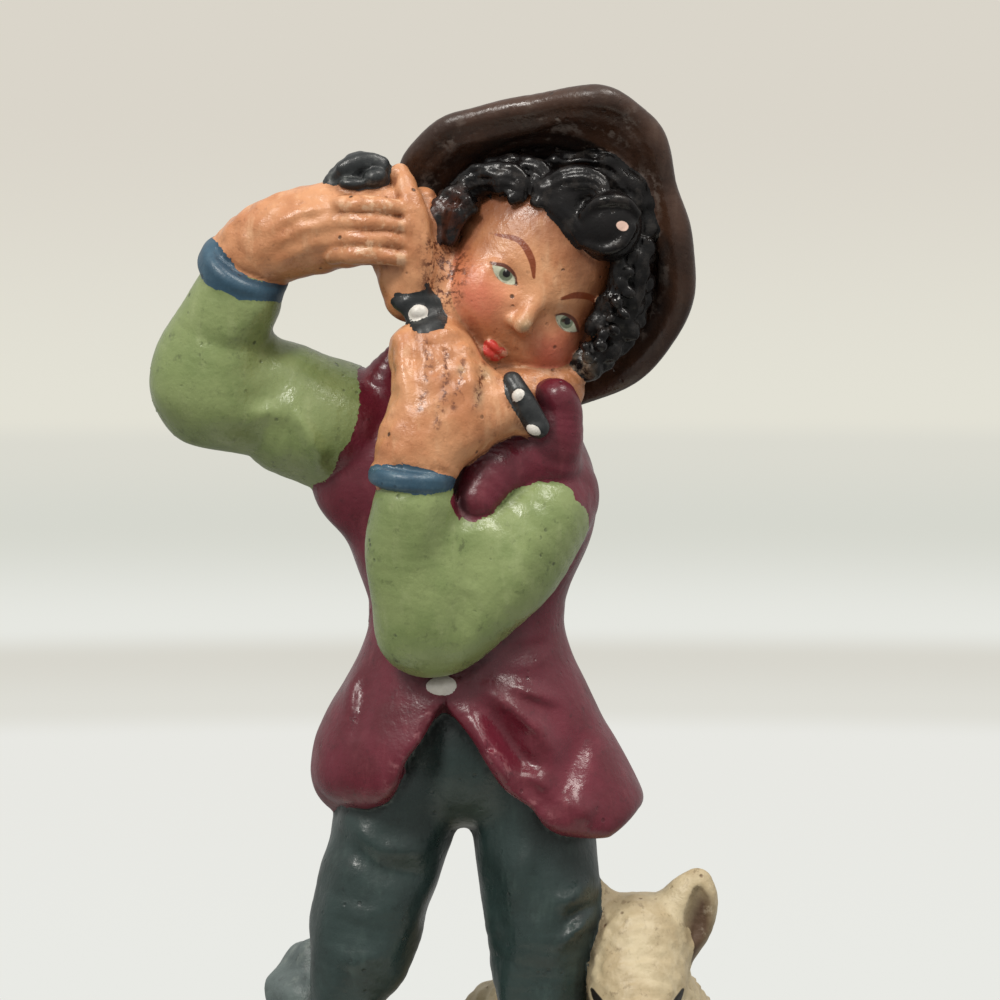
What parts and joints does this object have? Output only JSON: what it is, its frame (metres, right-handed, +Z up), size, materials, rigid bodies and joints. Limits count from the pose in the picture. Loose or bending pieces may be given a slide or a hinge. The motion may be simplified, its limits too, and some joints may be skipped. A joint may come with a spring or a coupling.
{
  "type": "shepherd figurine",
  "caption": "Standing papier-mache shepherd figurine in a wide-brimmed hat, playing a flute, with a dog beside a rock on an oval ground base; a crib or shelf ornament.",
  "frame": {"origin": "centre of the flat underside of the oval base", "axes": "+Z up through the figure, -Y out of the shepherd's face, +X to the shepherd's left, where the dog stands"},
  "size_m": [0.0684, 0.0421, 0.1395],
  "materials": {
    "ground": "matt olive-brown painted papier-mache",
    "rock": "matt grey-green painted papier-mache",
    "shoe": "semi-gloss brown paint",
    "trousers": "semi-gloss dark teal paint, rubbed along the inner seams",
    "vest": "semi-gloss burgundy paint",
    "sleeve": "semi-gloss sage-green paint with dark specks",
    "cuff": "semi-gloss blue paint with a hand-painted edge",
    "skin": "semi-gloss peach paint with blush",
    "hair": "glossy black paint",
    "hat": "semi-gloss dark brown paint",
    "flute": "semi-gloss charcoal paint",
    "white_dot": "off-white paint",
    "dog": "matt cream paint with brown pits",
    "dog_nose": "black paint",
    "bare_paper": "bare pressed paper pulp",
    "wire": "drawn steel wire"
  },
  "bodies": {
    "root": {"base_plinth": "ground", "rock": "rock", "right_shoe": "shoe", "left_shoe": "shoe", "right_trouser_leg": "trousers", "left_trouser_leg": "trousers", "trouser_seat": "trousers", "torso_core": "bare_paper", "vest_front": "vest", "vest_back": "vest", "vest_skirt_right": "vest", "vest_skirt_left": "vest", "vest_collar": "vest", "waist_button": "white_dot", "right_upper_sleeve": "sleeve", "right_lower_sleeve": "sleeve", "right_cuff": "cuff", "right_hand": "skin", "left_upper_sleeve": "sleeve", "left_lower_sleeve": "sleeve", "left_cuff": "cuff", "left_hand": "skin", "neck": "skin", "head": "skin", "hair": "hair", "forelock": "hair", "hat_crown": "hat", "hat_brim": "hat", "flute_barrel": "flute", "flute_head_joint": "flute", "flute_stud_middle": "white_dot", "flute_stud_lip": "white_dot", "flute_stud_end": "white_dot", "dog_body": "dog", "dog_head": "dog", "dog_left_ear": "dog", "dog_right_ear": "dog", "dog_nose": "dog_nose", "dog_front_left_leg": "dog", "dog_front_right_leg": "dog", "dog_hind_left_leg": "dog", "dog_hind_right_leg": "dog", "dog_tail": "dog", "right_leg_wire": "wire", "left_leg_wire": "wire", "spine_wire": "wire", "right_arm_wire": "wire", "left_arm_wire": "wire"}
  },
  "joints": []
}
